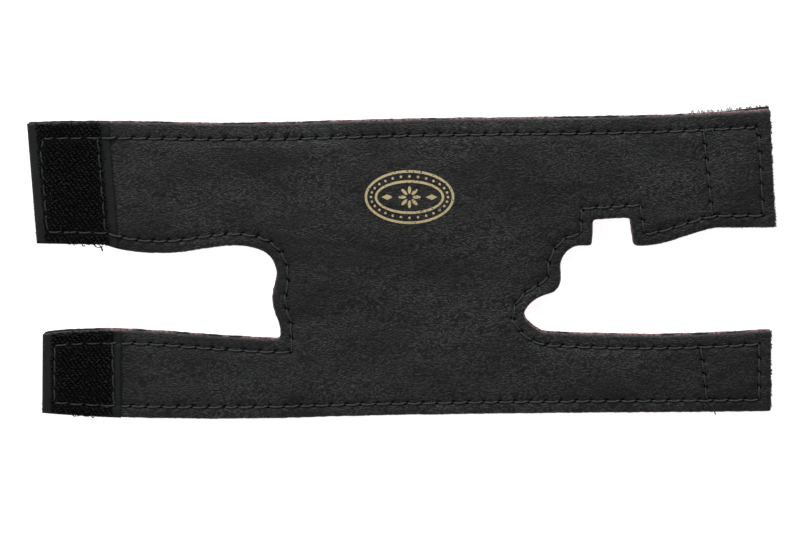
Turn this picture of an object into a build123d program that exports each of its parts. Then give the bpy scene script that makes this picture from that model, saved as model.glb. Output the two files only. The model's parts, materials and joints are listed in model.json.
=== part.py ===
from build123d import *
import math
import os

# A leather hand guard for a trumpet's valves, laid flat with its outer face up.
# X runs along the straps, Y up the panel and Z out of the leather, in millimetres.

# The two cut layers
leather_thick = 1.3
lining_thick = 1.0

# Overall reaches of the outline from the panel's middle, and its heights
upper_left_reach = 104.6
lower_left_reach = 101.7
right_reach = 104.4
panel_top = 40.3
panel_bottom = -42.6
top_left_drop = 0.9
top_right_rise = 2.7
lower_end_rise = 1.0

# Straps, measured across their ends
upper_left_width = 33.4
upper_right_width = 32.6
lower_left_width = 22.3
lower_right_width = 22.6
end_slant = 2.2

# Cut-outs between the straps, and the square notch in the upper right strap
left_cutout_x = -35.6
right_cutout_x = 34.0
notch_x = 52.9
notch_width = 11.4
notch_depth = 7.8
belly_depth = 5.0

# Hook and loop tapes across the strap ends
loop_tape_width = 22.8
short_loop_tape_width = 22.2
hook_tape_width = 21.5
tape_backing = 0.4
loop_pile = 1.2
hook_height = 1.1
tape_selvage = 2.4
hook_tape_proud = 1.2

# Sewing
seam_inset = 3.4
top_seam_inset = 4.2
tape_seam_insets = {"upper_left": 3.3, "lower_left": 2.2, "upper_right": 3.3, "lower_right": 2.6}
cross_seam_leans = {"upper_left": 0.0, "lower_left": 0.6, "upper_right": 1.1, "lower_right": 1.8}
seam_sampling = 0.5
sharp_corner = 28.0
stitch_pitch = 4.28
stitch_gap = 0.9
thread_width = 0.7
thread_height = 0.35
bobbin_height = 0.3
pocket_clearance = 0.3
bend_thread_gap = 0.25
smallest_thread = 0.05

# Bends: each strap turns round the valve block in four equal bends
bend_angle = 45.0
wrap_depth = 23.0
left_first_bend = 31.0
right_outer_step = 11.0
closure_clearance = 0.15

# Foil ornament
ornament_x = 1.8
ornament_y = 19.0
ornament_width = 25.0
ornament_height = 15.0
foil_thick = 0.08
foil_line = 0.7
bead_count = 28
petal_count = 8

# Levels, from the hook tips up
lining_z = hook_height + tape_backing
leather_z = lining_z + lining_thick
top_z = leather_z + leather_thick
tape_top_z = top_z + tape_backing
closed_stack = lining_thick + leather_thick + 2 * tape_backing + loop_pile + hook_height

# Bend lines: four equal bends close a half turn, so the steps between them set its depth
lean = math.sin(math.radians(bend_angle))
left_step = wrap_depth / (1 + 2 * lean)
right_depth = wrap_depth + closed_stack + closure_clearance
right_middle_step = right_depth - 2 * lean * right_outer_step
left_bends = [left_first_bend + k * left_step for k in range(4)]
right_bends = [
    notch_x - right_middle_step - right_outer_step,
    notch_x - right_middle_step,
    notch_x,
    notch_x + right_outer_step,
]

# The upper and lower corner of each strap's end, and the width of its tape
top_left = panel_top - top_left_drop
top_right = panel_top + top_right_rise
low_left = panel_bottom + lower_end_rise - 0.3
low_right = panel_bottom + lower_end_rise
ends = {
    "upper_left": (
        (-upper_left_reach, top_left),
        (-upper_left_reach + end_slant, top_left - upper_left_width),
        loop_tape_width,
    ),
    "lower_left": (
        (-lower_left_reach + 0.5, low_left + lower_left_width),
        (-lower_left_reach, low_left),
        short_loop_tape_width,
    ),
    "upper_right": (
        (right_reach - end_slant, top_right),
        (right_reach, top_right - upper_right_width),
        hook_tape_width,
    ),
    "lower_right": (
        (right_reach - 0.8, low_right + lower_right_width + 0.3),
        (right_reach - 0.5, low_right),
        hook_tape_width,
    ),
}
lower_strap_top = low_right + lower_right_width
belly = ends["upper_right"][1][1] - belly_depth
cutout_middle = lower_strap_top + 5.0
far = 200.0


def side(strap):
    """Minus one for a left strap and one for a right strap."""
    return -1 if strap.endswith("left") else 1


def between(low, high, share):
    return low + share * (high - low)


def top_edge():
    left, right = ends["upper_left"][0], ends["upper_right"][0]
    return Spline(
        left,
        (left[0] + 24.0, top_left + 0.3),
        (-50.7, top_left - 0.2),
        (0, panel_top),
        (right[0] - 23.0, top_right - 1.3),
        right,
    )


def right_edges():
    """The right side: upper strap end, its belly and notch, the cut-out and the lower strap."""
    end_low = ends["upper_right"][1]
    lower_top, lower_bottom = ends["lower_right"][:2]
    taper = (right_reach - 16.4, end_low[1])
    notch_right = notch_x + notch_width
    belly_right = (notch_right + 0.4, belly)
    cutout_top = (right_cutout_x + 15.0, belly - 0.1)
    cutout_low = (right_cutout_x + 5.0, lower_strap_top - 0.2)
    # out from the deepest point of the cut-out, and up from the lower strap to the belly
    bay = [(11.5, 0.907), (10.2, 0.793), (10.3, 0.63), (9.2, 0.496), (4.9, 0.415), (1.2, 0.309)]
    bay += [(0.0, 0.211), (1.5, 0.106)]
    return [
        Line(ends["upper_right"][0], end_low),
        Line(end_low, taper),
        Spline(
            taper,
            (between(belly_right[0], taper[0], 0.63), belly + 2.7),
            (between(belly_right[0], taper[0], 0.25), belly + 0.2),
            belly_right,
        ),
        Polyline(
            belly_right,
            (notch_right - 0.8, belly + notch_depth),
            (notch_x + 0.3, belly + notch_depth - 0.6),
            (notch_x, belly),
            cutout_top,
        ),
        Spline(
            cutout_top,
            *[(right_cutout_x + x, between(cutout_low[1], belly, up)) for x, up in bay],
            cutout_low,
        ),
        Spline(cutout_low, (right_reach - 19.4, lower_strap_top - 0.8), lower_top),
        Line(lower_top, lower_bottom),
    ]


def bottom_edge():
    left, right = ends["lower_left"][1], ends["lower_right"][1]
    return Spline(right, (55.7, low_right - 0.4), (0, panel_bottom), (-50.7, panel_bottom - 1.1), left)


def left_edges():
    """The left side: lower strap end and top, the cut-out, and the upper strap's lower edge."""
    lower_top, lower_bottom = ends["lower_left"][:2]
    upper_top, upper_bottom = ends["upper_left"][:2]
    corner = (left_cutout_x + 0.9, lower_strap_top - 2.3)
    strap_low = upper_bottom[1] - 2.7
    tape_edge = (upper_bottom[0] + 19.0, upper_bottom[1] - 0.3)
    # across from the cut-out's line, and up from its lower corner to the upper strap
    bay = [(0.9, 0.16), (-0.7, 0.37), (-1.0, 0.5), (0.1, 0.8), (-2.9, 1.0), (-7.0, 1.065)]
    return [
        Line(lower_bottom, lower_top),
        Spline(
            lower_top,
            (lower_top[0] + 18.8, lower_strap_top + 0.4),
            (-50.7, lower_strap_top - 1.5),
            corner,
        ),
        Spline(
            corner,
            *[(left_cutout_x + x, between(corner[1], strap_low, up)) for x, up in bay],
            (-upper_left_reach + 41.3, strap_low + 0.1),
            (-upper_left_reach + 35.4, strap_low - 0.1),
            tape_edge,
        ),
        Line(tape_edge, upper_bottom),
        Line(upper_bottom, upper_top),
    ]


def slab(face, low, high):
    """A flat layer of a face's shape, from one level to another."""
    return Pos(0, 0, low) * extrude(face, high - low)


def region(x0, x1, y0=-far, y1=far):
    """A column of space over a rectangle, which picks out part of a layer."""
    return Pos((x0 + x1) / 2, (y0 + y1) / 2, 0) * Box(x1 - x0, y1 - y0, far)


def quarter(strap):
    """The space that one strap lies in."""
    x = (-far, 0) if side(strap) < 0 else (0, far)
    y = (cutout_middle, far) if strap.startswith("upper") else (-far, cutout_middle)
    return region(*x, *y)


def across(strap, y, place):
    """The X of a line parallel to a strap's end, at a distance in from it."""
    high, low = ends[strap][:2]
    return between(low[0], high[0], (y - low[1]) / (high[1] - low[1])) - side(strap) * place


def band(strap, start, stop):
    """The strip across a strap from one distance in from its end to another."""
    high, low = ends[strap][0][1] + 6, ends[strap][1][1] - 6
    corners = [(across(strap, y, place), y) for y, place in
               [(low, start), (high, start), (high, stop), (low, stop)]]
    return make_face(Polyline(*corners, close=True)).face()


def turned(before, point, after):
    """The angle in degrees that a line of points turns through at one of them."""
    a, b = point - before, after - point
    return abs(math.degrees(math.atan2(a.X * b.Y - a.Y * b.X, a.X * b.X + a.Y * b.Y)))


def rim_runs(sheet):
    """Points round the outline anticlockwise, as one list for each stretch between sharp corners."""
    wire = sheet.outer_wire()
    count = round(wire.length / seam_sampling)
    rim = [wire.position_at(k / count) for k in range(count)]
    area = sum(rim[k - 1].X * rim[k].Y - rim[k].X * rim[k - 1].Y for k in range(count))
    if area < 0:
        rim.reverse()
    sharp = [turned(rim[k - 1], rim[k], rim[(k + 1) % count]) > sharp_corner for k in range(count)]
    first = sharp.index(True)
    runs = [[]]
    for k in range(first, first + count):
        if not sharp[k % count]:
            runs[-1].append(rim[k % count])
        elif runs[-1]:
            runs.append([])
    return [run for run in runs if len(run) > 2]


def moved_in(run):
    """A run of the outline moved inwards, a little further along the top."""
    found = []
    last = len(run) - 1
    for k, point in enumerate(run):
        along = (run[min(k + 1, last)] - run[max(k - 1, 0)]).normalized()
        inset = top_seam_inset if point.Y > panel_top - 3 else seam_inset
        found.append(point + Vector(-along.Y, along.X) * inset)
    return found


def crossing(a, b, c, d):
    """The point where the line through a and b meets the line through c and d."""
    r, s = b - a, d - c
    share = ((c.X - a.X) * s.Y - (c.Y - a.Y) * s.X) / (r.X * s.Y - r.Y * s.X)
    return a + r * share


def seam_runs(sheet):
    """The line of the edge seam, as one list of points for each stretch between its corners."""
    runs = rim_runs(sheet)
    rim = [point for run in runs for point in run]
    lines = [moved_in(run) for run in runs]
    corners = [crossing(*line[-2:], *lines[(k + 1) % len(lines)][:2]) for k, line in enumerate(lines)]
    found = []
    for k, line in enumerate(lines):
        clear = [
            spot
            for spot in line
            if sheet.is_inside(spot)
            and all(math.hypot(spot.X - p.X, spot.Y - p.Y) > seam_inset - 0.05 for p in rim)
        ]
        found.append([corners[k - 1]] + clear + [corners[k]])
    return found


def cross_line(strap, seam_face):
    """The line of the seam across a strap, which leans a little and runs from edge seam to edge seam."""
    place = ends[strap][2] - tape_seam_insets[strap]
    row = slab(band(strap, place, place + 0.01), 0, 1) & slab(seam_face, 0, 1) & quarter(strap)
    span = row.bounding_box()
    low, high = span.min.Y, span.max.Y
    leans = {y: cross_seam_leans[strap] * (0.5 - (y - low) / (high - low)) for y in (high, low)}
    return Line(*[(across(strap, y, place) + lean, y) for y, lean in leans.items()])


def stitches_along(path):
    """The middle, angle and length of each stitch along a line."""
    count = max(1, round(path.length / stitch_pitch))
    ends_of = [path.position_at(k / count) for k in range(count + 1)]
    found = []
    for start, stop in zip(ends_of, ends_of[1:]):
        chord = stop - start
        angle = math.degrees(math.atan2(chord.Y, chord.X))
        found.append(((start + stop) / 2, angle, max(chord.length - stitch_gap, stitch_gap)))
    return found


def bar(stitch, low, height, grow=0.0):
    """One length of thread lying on a surface, or with grow the pocket that it lies in."""
    middle, angle, length = stitch
    block = Box(length + 2 * grow, thread_width + 2 * grow, height)
    return Pos(middle.X, middle.Y, low + height / 2) * Rot(0, 0, angle) * block


def on_tape(stitch, strap):
    """Whether a stitch goes through a strap's tape."""
    middle = stitch[0]
    if side(strap) * middle.X < 0 or (middle.Y > cutout_middle) != strap.startswith("upper"):
        return False
    return side(strap) * (middle.X - across(strap, middle.Y, ends[strap][2])) > 0


def thread_of(stitches):
    """Needle thread on the front and bobbin thread on the back, as separate lengths."""
    found = []
    for stitch in stitches:
        under = [s for s in ends if on_tape(stitch, s)]
        raised = bool(under) and side(under[0]) < 0
        lowered = bool(under) and side(under[0]) > 0
        needle = bar(stitch, tape_top_z if raised else top_z, thread_height)
        # bobbin thread beds into the felt, or lies among the hooks
        bobbin = bar(stitch, hook_height - bobbin_height if lowered else lining_z, bobbin_height)
        if not under:
            for strap in ends:
                if side(strap) < 0 and quarter(strap).is_inside(stitch[0]):
                    needle = needle - backings[strap]
        found += needle.solids() + bobbin.solids()
    return found


def tape_field(strap, shape, stitches):
    """The pile or the hooks between a tape's selvages, with a pocket pressed in at each stitch."""
    low, high = (tape_top_z, tape_top_z + loop_pile) if side(strap) < 0 else (0, hook_height)
    strip = band(strap, tape_selvage, ends[strap][2] - tape_selvage)
    field = slab(strip, low, high) & slab(shape, low, high) & quarter(strap)
    for stitch in stitches:
        if on_tape(stitch, strap):
            field = field - bar(stitch, low, high - low, pocket_clearance)
    return field


def ornament():
    """A foil oval: two lines with a ring of beads between them, round a rosette and two lozenges."""
    pieces = []
    for trim in (0, 8 * foil_line):
        wide, tall = (ornament_width - trim) / 2, (ornament_height - trim) / 2
        pieces.append(Ellipse(wide, tall) - Ellipse(wide - foil_line, tall - foil_line))
    for k in range(bead_count):
        turn = 2 * math.pi * k / bead_count
        x = (ornament_width / 2 - 2.5 * foil_line) * math.cos(turn)
        y = (ornament_height / 2 - 2.5 * foil_line) * math.sin(turn)
        pieces.append(Pos(x, y) * Circle(foil_line / 2))
    for k in range(petal_count):
        pieces.append(Rot(0, 0, 360 * k / petal_count) * Pos(2.0, 0) * Ellipse(1.1, 0.45))
    for way in (-1, 1):
        lozenge = make_face(Polyline((1.6, 0), (0, 0.8), (-1.6, 0), (0, -0.8), close=True))
        pieces.append(Pos(way * 6.2, 0) * lozenge)
    raised = [Pos(ornament_x, ornament_y, top_z) * extrude(piece, foil_thick) for piece in pieces]
    return [solid for piece in raised for solid in piece.solids()]


sheet = make_face([top_edge(), *right_edges(), bottom_edge(), *left_edges()]).face()
leather = slab(sheet, leather_z, top_z)
lining = slab(sheet, lining_z, leather_z)

seam_lines = seam_runs(sheet)
edge_stitches = [stitch for line in seam_lines for stitch in stitches_along(Polyline(*line))]
seam_line = Polyline(*[point for line in seam_lines for point in line[:-1]], close=True)
cross_stitches = {}
for strap in ends:
    cross_stitches[strap] = stitches_along(cross_line(strap, make_face(seam_line).face()))

# Each tape is woven backing over the whole width, with pile or hooks between its selvages.
# The upper hook tape stands a little above the leather's top edge.
backings = {}
fields = {}
for strap, (high, low, width) in ends.items():
    shape = sheet + Pos(0, hook_tape_proud) * sheet if strap == "upper_right" else sheet
    level = top_z if side(strap) < 0 else hook_height
    backing = slab(band(strap, 0, width), level, level + tape_backing)
    backings[strap] = backing & slab(shape, level, level + tape_backing) & quarter(strap)
    fields[strap] = tape_field(strap, shape, edge_stitches + cross_stitches[strap])

# Bodies: the panel, a wing each side that still joins both straps, and three lengths of each strap
columns = {
    "panel": region(-left_bends[0], right_bends[0]),
    "left_wing": region(-left_bends[1], -left_bends[0]),
    "right_wing": region(right_bends[0], right_bends[1]),
}
for strap in ends:
    lines = [*(left_bends if side(strap) < 0 else right_bends), far]
    y = (cutout_middle, far) if strap.startswith("upper") else (-far, cutout_middle)
    for k, length in enumerate(("root", "middle", "end")):
        x = sorted(side(strap) * line for line in lines[k + 1:k + 3])
        columns[f"{strap}_{length}"] = region(*x, *y)

parts = {}
edge_thread = thread_of(edge_stitches)
cross_threads = {strap: thread_of(cross_stitches[strap]) for strap in ends}
for body, column in columns.items():
    parts[f"leather_{body}"] = (leather & column).solids()
    felt = lining & column
    span = column.bounding_box()
    clear = region(span.min.X + bend_thread_gap, span.max.X - bend_thread_gap, span.min.Y, span.max.Y)
    kept = []
    for piece in edge_thread:
        box = piece.bounding_box()
        meets_x = box.max.X > span.min.X and box.min.X < span.max.X
        meets_y = box.max.Y > span.min.Y and box.min.Y < span.max.Y
        if meets_x and meets_y and (cut := piece & clear):
            kept += [solid for solid in cut.solids() if solid.volume > smallest_thread]
    parts[f"seam_thread_{body}"] = kept
    crossing = [thread for strap in ends if body == f"{strap}_end" for thread in cross_threads[strap]]
    bedded = [thread for thread in kept + crossing if lining_z < thread.center().Z < leather_z]
    parts[f"lining_{body}"] = (felt - bedded).solids()

for strap in ends:
    kind = "loop" if side(strap) < 0 else "hook"
    parts[f"{kind}_tape_{strap}"] = (backings[strap] + fields[strap]).solids()
    parts[f"cross_seam_{strap}"] = cross_threads[strap]
parts["foil_ornament"] = ornament()

# The origin is the middle of the whole part in plan, at its lowest level
bounds = Compound(children=[solid.moved(Location()) for some in parts.values() for solid in some])
middle = bounds.bounding_box().center()
home = Location((-middle.X, -middle.Y, 0))

os.makedirs("parts", exist_ok=True)
for name, solids in parts.items():
    placed = [solid.moved(home) for solid in solids]
    shape = placed[0] if len(placed) == 1 else Compound(children=placed)
    export_step(shape, f"parts/{name}.step")

for label, lines in (("left", [-x for x in left_bends]), ("right", right_bends)):
    print(label, "bend lines at x", [round(x - middle.X, 4) for x in lines])
print("bends at z", lining_z, "and the leather's outer face at z", top_z)
print("cut-outs part the straps at y", round(cutout_middle - middle.Y, 4))
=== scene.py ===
import bpy
import bmesh
import json
import math
import numpy as np
from mathutils import Matrix, Vector, geometry, kdtree, noise

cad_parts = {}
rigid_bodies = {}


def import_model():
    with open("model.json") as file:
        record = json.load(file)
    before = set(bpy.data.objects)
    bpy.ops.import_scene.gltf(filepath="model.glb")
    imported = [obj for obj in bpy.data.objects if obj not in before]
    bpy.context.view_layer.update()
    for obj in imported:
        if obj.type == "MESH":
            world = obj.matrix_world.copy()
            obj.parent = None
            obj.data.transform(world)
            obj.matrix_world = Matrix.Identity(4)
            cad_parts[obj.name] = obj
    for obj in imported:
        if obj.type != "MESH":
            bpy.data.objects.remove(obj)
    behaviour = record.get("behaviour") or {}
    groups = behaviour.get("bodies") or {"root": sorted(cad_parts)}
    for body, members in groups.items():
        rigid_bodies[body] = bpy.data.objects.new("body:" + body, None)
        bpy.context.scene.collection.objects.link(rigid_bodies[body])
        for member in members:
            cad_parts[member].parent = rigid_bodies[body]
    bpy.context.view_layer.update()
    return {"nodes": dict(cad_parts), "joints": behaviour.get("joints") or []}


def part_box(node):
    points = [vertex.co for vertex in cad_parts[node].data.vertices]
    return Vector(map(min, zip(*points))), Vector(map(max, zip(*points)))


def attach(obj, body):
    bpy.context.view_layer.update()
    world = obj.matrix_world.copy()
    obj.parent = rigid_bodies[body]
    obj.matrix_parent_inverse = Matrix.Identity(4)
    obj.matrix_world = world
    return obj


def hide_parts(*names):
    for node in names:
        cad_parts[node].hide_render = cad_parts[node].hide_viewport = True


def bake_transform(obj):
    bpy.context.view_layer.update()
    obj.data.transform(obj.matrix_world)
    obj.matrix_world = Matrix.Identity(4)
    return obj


for startup in list(bpy.data.objects):
    bpy.data.objects.remove(startup)
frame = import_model()
mm = 0.001

# what the frame says: bend lines, levels, where upper and lower straps part

bendX = {joint["child"]: joint["pos_m"][0] / mm for joint in frame["joints"]}
parentOf = {joint["child"]: joint["parent"] for joint in frame["joints"]}
straps = ["upper_left", "lower_left", "upper_right", "lower_right"]


def boxMm(node):
    low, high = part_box(node)
    return np.array(low) / mm, np.array(high) / mm


topLevel = boxMm("leather_panel")[1][2]
midLevel = boxMm("leather_panel")[0][2]
feltLevel = boxMm("lining_panel")[0][2]
partY = (boxMm("leather_lower_right_root")[1][1] + boxMm("leather_upper_right_root")[0][1]) / 2


def pointsOf(mesh):
    co = np.zeros(len(mesh.vertices) * 3, np.float32)
    mesh.vertices.foreach_get("co", co)
    return co.reshape(-1, 3).astype(float) / mm


def nodePoints(node):
    mesh = frame["nodes"][node].data
    tris = np.zeros(len(mesh.loop_triangles) * 3, np.int32)
    mesh.loop_triangles.foreach_get("vertices", tris)
    return pointsOf(mesh), tris.reshape(-1, 3)


def rimOf(nodes, level, skipX=()):
    # the outer loop of the faces that lie flat at one level, anticlockwise
    uses = {}
    for node in nodes:
        points, tris = nodePoints(node)
        keys = [tuple(p) for p in np.round(points[:, :2], 3)]
        flat = np.abs(points[tris][:, :, 2] - level).max(1) < 0.01
        for tri in tris[flat]:
            for a, b in zip(tri, np.roll(tri, -1)):
                edge = frozenset((keys[a], keys[b]))
                uses[edge] = uses.get(edge, 0) + 1
    nextTo = {}
    for edge, count in uses.items():
        if count != 1 or len(edge) != 2:
            continue
        a, b = edge
        if any(abs(a[0] - x) < 0.002 and abs(b[0] - x) < 0.002 for x in skipX):
            continue
        nextTo.setdefault(a, []).append(b)
        nextTo.setdefault(b, []).append(a)
    loops = []
    left = set(nextTo)
    while left:
        start = min(left)
        loop, last, at = [start], None, start
        left.discard(start)
        while True:
            ways = [p for p in nextTo[at] if p != last and (p in left or p == start)]
            if not ways or ways[0] == start and len(loop) > 2:
                break
            last, at = at, ways[0]
            left.discard(at)
            loop.append(at)
        loops.append(np.array(loop))
    loop = max(loops, key=lambda one: abs(shoelace(one)))
    return loop if shoelace(loop) > 0 else loop[::-1]


def shoelace(loop):
    x, y = loop[:, 0], loop[:, 1]
    return 0.5 * float(np.sum(x * np.roll(y, -1) - np.roll(x, -1) * y))


def respaced(loop, spacing, corner=24.0, keepX=()):
    # even points along the loop, with its corners and its crossings of some lines kept
    ahead = np.roll(loop, -1, 0) - loop
    turn = np.degrees(np.arctan2(ahead[:, 1], ahead[:, 0]))
    bendBy = (turn - np.roll(turn, 1) + 180) % 360 - 180
    points, kept = [], []
    for k in range(len(loop)):
        a, b = loop[k], loop[(k + 1) % len(loop)]
        points.append(a)
        kept.append(abs(bendBy[k]) > corner)
        hits = [(x - a[0]) / (b[0] - a[0]) for x in keepX if (a[0] - x) * (b[0] - x) < 0]
        for share in sorted(hits):
            points.append(a + (b - a) * share)
            kept.append(True)
    points, kept = np.array(points), np.array(kept)
    for x in keepX:
        kept |= np.abs(points[:, 0] - x) < 1e-6
    marks = np.flatnonzero(kept)
    out = []
    for m, start in enumerate(marks):
        stop = marks[(m + 1) % len(marks)]
        run = points[start:stop + 1] if stop > start else np.vstack([points[start:], points[:stop + 1]])
        step = np.linalg.norm(np.diff(run, axis=0), axis=1)
        along = np.concatenate([[0], np.cumsum(step)])
        count = max(1, int(round(along[-1] / spacing)))
        at = np.linspace(0, along[-1], count + 1)[:-1]
        out.append(np.c_[np.interp(at, along, run[:, 0]), np.interp(at, along, run[:, 1])])
    return np.vstack(out)


def outward(loop):
    along = np.roll(loop, -1, 0) - np.roll(loop, 1, 0)
    along /= np.linalg.norm(along, axis=1)[:, None]
    return np.c_[along[:, 1], -along[:, 0]]


def treeOf(points):
    tree = kdtree.KDTree(len(points))
    for k, p in enumerate(points):
        tree.insert((p[0], p[1], 0.0), k)
    tree.balance()
    return tree


def nearest(tree, points):
    return np.array([tree.find((p[0], p[1], 0.0))[2] for p in points])


def ripple(points, scale, seed):
    return np.array([noise.noise((p[0] / scale, p[1] / scale, seed)) for p in points])


# the lengths that are seen: each crosses one bend, from mid length to mid length

def seenLengths():
    places = ("root", "middle", "end")
    found = []
    for sign, side in ((-1, "left"), (1, "right")):
        lines = [abs(bendX[f"{side}_wing"])] + [abs(bendX[f"upper_{side}_{place}"]) for place in places]
        half = min(b - a for a, b in zip(lines, lines[1:])) / 2
        cuts = [lines[0] - half] + [(a + b) / 2 for a, b in zip(lines, lines[1:])] + [999.0]
        spans = [(f"{side}_wing", None)]
        spans += [(f"{strap}_{place}", strap) for strap in straps if strap.endswith(side) for place in places]
        for child, strap in spans:
            k = 0 if strap is None else 1 + places.index(child.rsplit("_", 1)[1])
            low, high = sorted((sign * cuts[k], sign * cuts[k + 1]))
            found.append({"name": child, "a": parentOf[child], "b": child, "strap": strap,
                          "low": low, "high": high,
                          "start": sign * (lines[k] - half), "end": sign * (lines[k] + half)})
    # the panel's own middle goes with the left wing's length
    right = next(one for one in found if one["name"] == "right_wing")
    left = next(one for one in found if one["name"] == "left_wing")
    left["high"] = right["low"]
    return found


lengths = seenLengths()
cutLines = sorted({round(one[end], 6) for one in lengths for end in ("low", "high") if abs(one[end]) < 900})


def lengthAt(points):
    # which length each point belongs to
    out = np.full(len(points), -1)
    for k, one in enumerate(lengths):
        inside = (points[:, 0] >= one["low"]) & (points[:, 0] < one["high"])
        if one["strap"]:
            inside &= (points[:, 1] > partY) == one["strap"].startswith("upper")
        out[inside] = k
    return out


def follow(piece):
    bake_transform(piece)


# stitches, read from the lengths of thread in the frame

def threadBars(node):
    points, tris = nodePoints(node)
    keys, index = np.unique(np.round(points, 3), axis=0, return_inverse=True)
    root = list(range(len(keys)))

    def find(k):
        while root[k] != k:
            root[k] = root[root[k]]
            k = root[k]
        return k
    for tri in index.reshape(-1)[tris]:
        a = find(tri[0])
        root[find(tri[1])] = a
        root[find(tri[2])] = a
    groups = {}
    for k in range(len(keys)):
        groups.setdefault(find(k), []).append(k)
    bars = []
    for members in groups.values():
        co = keys[members]
        middle = co.mean(0)
        spread = co[:, :2] - middle[:2]
        axis = np.linalg.eigh(spread.T @ spread)[1][:, -1]
        reach = spread @ axis
        centre = middle[:2] + axis * (reach.max() + reach.min()) / 2
        half = (reach.max() - reach.min()) / 2
        bars.append({"from": centre - axis * half, "to": centre + axis * half, "z": co[:, 2].min(),
                     "node": node, "corners": co[:, :2]})
    return bars


def spanOf(bar):
    return np.linalg.norm(bar["to"] - bar["from"])


def withoutStubs(bars, shortest):
    # a scrap left beside a bend line makes its neighbour longer
    long = [b for b in bars if spanOf(b) >= shortest]
    for stub in (b for b in bars if spanOf(b) < shortest):
        centre = stub["corners"].mean(0)
        near = [(np.linalg.norm(b[end] - centre), n, end) for n, b in enumerate(long) for end in ("from", "to")
                if abs(b["z"] - stub["z"]) < 0.05]
        gap, n, end = min(near)
        if gap < 1.5:
            start = long[n]["to" if end == "from" else "from"]
            way = (long[n][end] - start) / np.linalg.norm(long[n][end] - start)
            long[n][end] = start + way * ((stub["corners"] - start) @ way).max()
    return long


def joined(bars, gap):
    # two halves of a stitch that a bend line divides are one length of thread
    out = []
    while bars:
        one = bars.pop()
        for other in bars:
            if abs(other["z"] - one["z"]) > 0.05:
                continue
            ends = [(np.linalg.norm(a - b), a, b) for a in (one["from"], one["to"])
                    for b in (other["from"], other["to"])]
            gapNow, a, b = min(ends, key=lambda e: e[0])
            nearBend = min(abs((a[0] + b[0]) / 2 - x) for x in bendX.values()) < 0.4
            if gapNow < gap and nearBend:
                far = one["to"] if a is one["from"] else one["from"]
                farther = other["to"] if b is other["from"] else other["from"]
                bars = [x for x in bars if x is not other]
                one = {"from": far, "to": farther, "z": one["z"], "node": one["node"]}
                break
        out.append(one)
    return out


def holesOf(bars):
    # one hole where two stitches meet, and one at the end of a row
    ends = [(n, p) for n, b in enumerate(bars) for p in (b["from"], b["to"])]
    spots = []
    for n, p in ends:
        near = [q for m, q in ends if m != n and np.linalg.norm(q - p) < 1.5]
        spot = p if not near else (p + min(near, key=lambda q: np.linalg.norm(q - p))) / 2
        if all(np.linalg.norm(spot - other) > 0.4 for other in spots):
            spots.append(spot)
    return np.array(spots)


def slitsOf(spots, bars):
    # the needle cuts a short slit that leans off the row
    ends = treeOf([p for b in bars for p in (b["from"], b["to"])])
    points = []
    for spot in spots:
        bar = bars[ends.find((*spot, 0.0))[1] // 2]
        a, b = bar["from"], bar["to"]
        way = (b - a) / np.linalg.norm(b - a)
        way = way if way[0] > 0.3 or (abs(way[0]) <= 0.3 and way[1] < 0) else -way
        lean = np.array([way[0] * 0.82 - way[1] * 0.57, way[0] * 0.57 + way[1] * 0.82])
        points += [spot + lean * share for share in (-0.3, -0.1, 0.1, 0.3, 0.5)]
    return np.array(points)


edgeBars = [bar for node in frame["nodes"] if node.startswith("seam_thread_") for bar in threadBars(node)]
edgeBars = joined(withoutStubs(edgeBars, 1.15), 0.8)
crossBars = [bar for node in frame["nodes"] if node.startswith("cross_seam_") for bar in threadBars(node)]
frontBars = [b for b in edgeBars + crossBars if b["z"] > midLevel]
print("stitches", len(frontBars), "front", len(edgeBars + crossBars) - len(frontBars), "back")
seamPoints = np.vstack([b["from"] + (b["to"] - b["from"]) * share
                        for b in frontBars for share in np.linspace(-0.12, 1.12, 12)])
holePoints = holesOf(frontBars)
slitPoints = slitsOf(holePoints, frontBars)
seamTree, slitTree = treeOf(seamPoints), treeOf(slitPoints)
print("needle holes", len(holePoints))

# the outline of leather and lining

outline = rimOf([n for n in frame["nodes"] if n.startswith("leather_")], topLevel, list(bendX.values()))
print("outline points", len(outline), "area", round(shoelace(outline)))

# one grid of points that leather and lining share

grid = {
    "spacing": 0.56,             # mm, open leather
    "rimStep": 0.5,              # mm along the cut edge
    "rimRows": (0.13, 0.33, 0.62),
    "seamRows": (0.0, 0.3, 0.62),
    "holeRings": (0.24, 0.5),    # round each needle hole
    "closest": 0.2,
}
rim = respaced(outline, grid["rimStep"], keepX=cutLines)
for step in range(3):
    # takes the points off the cut corners
    softened = rim * 0.5 + (np.roll(rim, 1, 0) + np.roll(rim, -1, 0)) * 0.25
    offset = np.linalg.norm(softened - rim, axis=1)
    move = (offset > 0.03) & (np.abs(rim[:, :1] - np.array(cutLines)).min(1) > 1e-6)
    rim[move] = softened[move]
rimOut = outward(rim)
rimTree = treeOf(np.vstack([rim + (np.roll(rim, -1, 0) - rim) * share for share in (0, 0.25, 0.5, 0.75)]))


def insideRim(points, loop):
    x, y = points[:, 0], points[:, 1]
    hit = np.zeros(len(points), bool)
    for a, b in zip(loop, np.roll(loop, -1, 0)):
        if a[1] == b[1]:
            continue
        crosses = (a[1] > y) != (b[1] > y)
        hit ^= crosses & (x < (b[0] - a[0]) * (y - a[1]) / (b[1] - a[1]) + a[0])
    return hit


def cutRuns():
    # points down each cut line, in the stretches where there is leather
    runs = []
    for x in cutLines:
        ys = sorted(rim[np.abs(rim[:, 0] - x) < 1e-6][:, 1])
        for low, high in zip(ys[::2], ys[1::2]):
            count = max(2, int(round((high - low) / grid["rimStep"])))
            inner = np.linspace(low, high, count + 1)
            inner[1], inner[-2] = low + 0.25, high - 0.25
            runs.append(np.c_[np.full(count + 1, x), inner])
    return runs


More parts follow.
